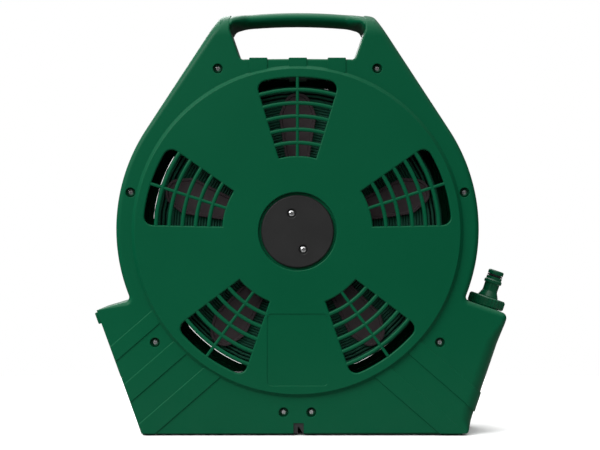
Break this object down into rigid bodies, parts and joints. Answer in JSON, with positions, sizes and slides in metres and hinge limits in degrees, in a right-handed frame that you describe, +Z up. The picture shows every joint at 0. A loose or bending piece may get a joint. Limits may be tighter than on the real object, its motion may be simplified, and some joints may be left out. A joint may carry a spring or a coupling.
{
  "type": "garden hose reel cassette",
  "caption": "Upright two-shell garden hose reel cassette with an integral carry handle, grilled round sides, a lay-flat hose on a spoked drum, a folding crank and a click-on water inlet.",
  "frame": {"origin": "on the ground, under the drum's axis, on the joint between the two shells", "axes": "+Z up, +Y from the water side towards the crank side along the drum's axis, +X from the hose mouth towards the water inlet"},
  "size_m": [0.4182, 0.1305, 0.43],
  "materials": {
    "shell_green": "fine textured moulding",
    "crank_green": "smooth moulding",
    "black_plastic": "satin moulding",
    "drum_black": "satin moulding",
    "inlet_plastic": "smooth moulding",
    "hose_cover": "soft woven-backed coating",
    "rubber_black": "dull",
    "screw_steel": "zinc plated"
  },
  "bodies": {
    "housing": {"rear_shell": "shell_green", "front_shell": "shell_green", "housing_screws": "screw_steel", "notch_liner": "black_plastic", "mouth_plate": "shell_green", "guide_bracket": "black_plastic", "guide_pins": "screw_steel", "hub_cap": "black_plastic", "hub_cap_screws": "screw_steel", "water_spigot": "black_plastic", "spigot_o_rings": "rubber_black", "feed_hose": "rubber_black", "feed_clips": "screw_steel", "inlet_elbow": "black_plastic", "inlet_collar": "inlet_plastic", "inlet_nipple": "inlet_plastic", "nipple_o_ring": "rubber_black", "inlet_washer": "rubber_black", "front_bush": "black_plastic"},
    "drum": {"rear_spider": "drum_black", "front_spider": "drum_black", "drum_core": "drum_black", "drum_screws": "screw_steel", "start_fitting": "black_plastic", "start_clamp": "screw_steel", "hose_coil": "hose_cover", "crank_arm": "crank_green", "crank_screws": "screw_steel", "crank_cap": "black_plastic", "fold_pin": "screw_steel"},
    "fold": {"fold_block": "black_plastic", "knob_spindle": "screw_steel", "knob_screw": "screw_steel"},
    "knob": {"crank_knob": "black_plastic"},
    "roller_above": {"upper_roller": "black_plastic"},
    "roller_below": {"lower_roller": "black_plastic"},
    "hose_end": {"hose_leadout": "hose_cover", "end_sleeve": "screw_steel", "end_coupler": "black_plastic", "coupler_o_ring": "rubber_black"},
    "release_ring": {"coupler_ring": "crank_green"}
  },
  "joints": [
    {"name": "drum_spin", "type": "hinge", "parent": "housing", "child": "drum", "pos_m": [0, 0, 0.205], "axis": [0, 1, 0], "continuous": true},
    {"name": "knob_fold", "type": "hinge", "parent": "drum", "child": "fold", "pos_m": [0, 0.0705, 0.093], "axis": [-1, 0, 0], "range_deg": [0, 90]},
    {"name": "knob_spin", "type": "hinge", "parent": "fold", "child": "knob", "pos_m": [0, 0.0705, 0.13], "axis": [0, 0, 1], "continuous": true},
    {"name": "upper_roller_spin", "type": "hinge", "parent": "housing", "child": "roller_above", "pos_m": [-0.117, 0, 0.064], "axis": [0, 1, 0], "continuous": true},
    {"name": "lower_roller_spin", "type": "hinge", "parent": "housing", "child": "roller_below", "pos_m": [-0.117, 0, 0.0506], "axis": [0, 1, 0], "continuous": true},
    {"name": "hose_pull", "type": "slide", "parent": "housing", "child": "hose_end", "axis": [-1, 0, 0], "range_m": [0, 0.08]},
    {"name": "ring_release", "type": "slide", "parent": "hose_end", "child": "release_ring", "axis": [1, 0, 0], "range_m": [0, 0.003], "stiffness_N_per_m": 800, "springref_m": -0.002}
  ]
}
